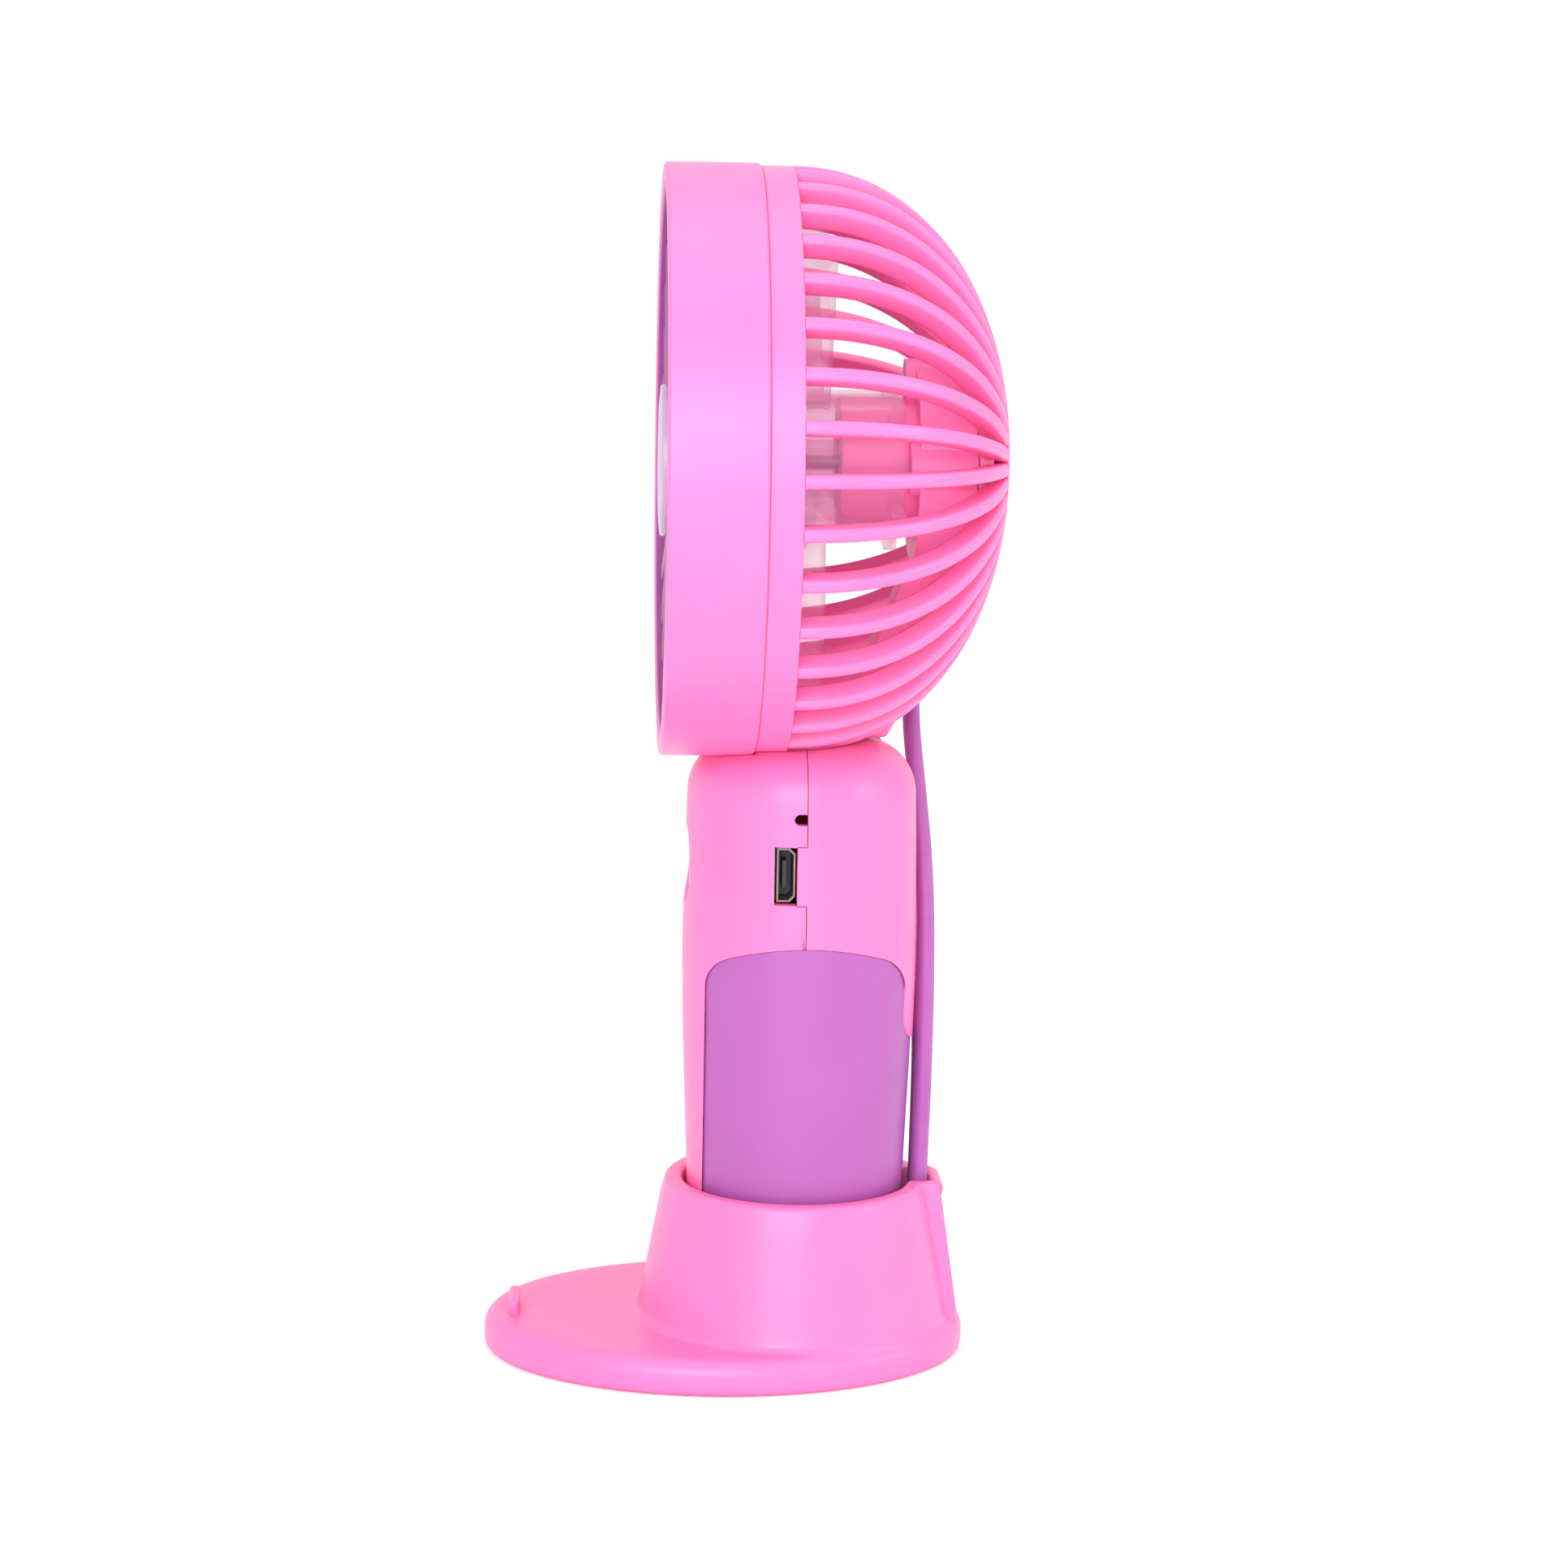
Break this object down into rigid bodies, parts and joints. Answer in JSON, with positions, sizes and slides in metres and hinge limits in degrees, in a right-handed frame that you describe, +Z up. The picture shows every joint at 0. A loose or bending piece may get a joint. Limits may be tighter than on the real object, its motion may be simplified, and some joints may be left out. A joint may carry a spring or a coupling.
{
  "type": "handheld electric fan",
  "caption": "Rechargeable handheld fan with a caged round head, a clad handle and a wrist strap, standing in a cup-shaped cradle base with a phone rest.",
  "frame": {"origin": "on the handle's axis, in the plane the base stands on", "axes": "+Z up; the fan blows towards -Y, where the phone rest is; the charging socket faces +X"},
  "size_m": [0.0852, 0.0715, 0.1662],
  "materials": {
    "pink_shell": "satin moulded pink plastic",
    "orchid_cover": "satin moulded orchid-purple plastic",
    "grille_purple": "moulded purple plastic",
    "cap_lavender": "smooth pale lavender plastic",
    "clear_blade": "clear frosted plastic",
    "orchid_cord": "smooth orchid silicone cord",
    "nickel_steel": "nickel-plated steel",
    "screw_steel": "zinc-plated steel",
    "motor_steel": "drawn steel can",
    "bronze": "sintered bronze",
    "copper": "copper",
    "enamel_copper": "enamelled copper wire",
    "carbon": "carbon",
    "magnet_ferrite": "ferrite",
    "black_plastic": "moulded black plastic",
    "white_nylon": "moulded nylon",
    "board_green": "solder-masked glass laminate",
    "led_clear": "red-tinted epoxy",
    "red_wire": "red insulated wire",
    "black_wire": "black insulated wire",
    "cell_wrap": "shrink-wrapped cell"
  },
  "bodies": {
    "base": {"base_stand": "pink_shell"},
    "fan": {"handle_front_shell": "pink_shell", "handle_rear_shell": "pink_shell", "handle_screws": "screw_steel", "grip_cover": "orchid_cover", "head_ring": "pink_shell", "rear_cage": "pink_shell", "front_grille": "grille_purple", "grille_cap": "cap_lavender", "motor_housing": "pink_shell", "housing_screws": "screw_steel", "motor_can": "motor_steel", "motor_end_bell": "black_plastic", "motor_magnets": "magnet_ferrite", "motor_front_bush": "bronze", "motor_rear_bush": "bronze", "motor_brushes": "carbon", "motor_terminals": "copper", "motor_lead_red": "red_wire", "motor_lead_black": "black_wire", "circuit_board": "board_green", "board_screws": "screw_steel", "usb_socket_shell": "nickel_steel", "usb_socket_tongue": "black_plastic", "tact_switch_body": "black_plastic", "control_chip": "black_plastic", "indicator_led": "led_clear", "battery_cell": "cell_wrap", "battery_spring": "nickel_steel", "battery_contact": "nickel_steel", "battery_lead_red": "red_wire", "battery_lead_black": "black_wire", "strap_anchor": "orchid_cover", "strap_cord": "orchid_cord"},
    "rotor": {"impeller": "clear_blade", "motor_shaft": "nickel_steel", "armature_core": "motor_steel", "armature_windings": "enamel_copper", "commutator": "copper"},
    "button": {"power_button": "pink_shell", "tact_switch_plunger": "white_nylon"}
  },
  "joints": [
    {"name": "fan_lift", "type": "slide", "parent": "base", "child": "fan", "axis": [0, 0, 1], "range_m": [0, 0.024]},
    {"name": "impeller_spin", "type": "hinge", "parent": "fan", "child": "rotor", "pos_m": [0, 0, 0.1256], "axis": [0, 1, 0], "continuous": true},
    {"name": "button_press", "type": "slide", "parent": "fan", "child": "button", "axis": [0, 1, 0], "range_m": [0, 0.0003], "stiffness_N_per_m": 600, "springref_m": -0.0005}
  ]
}
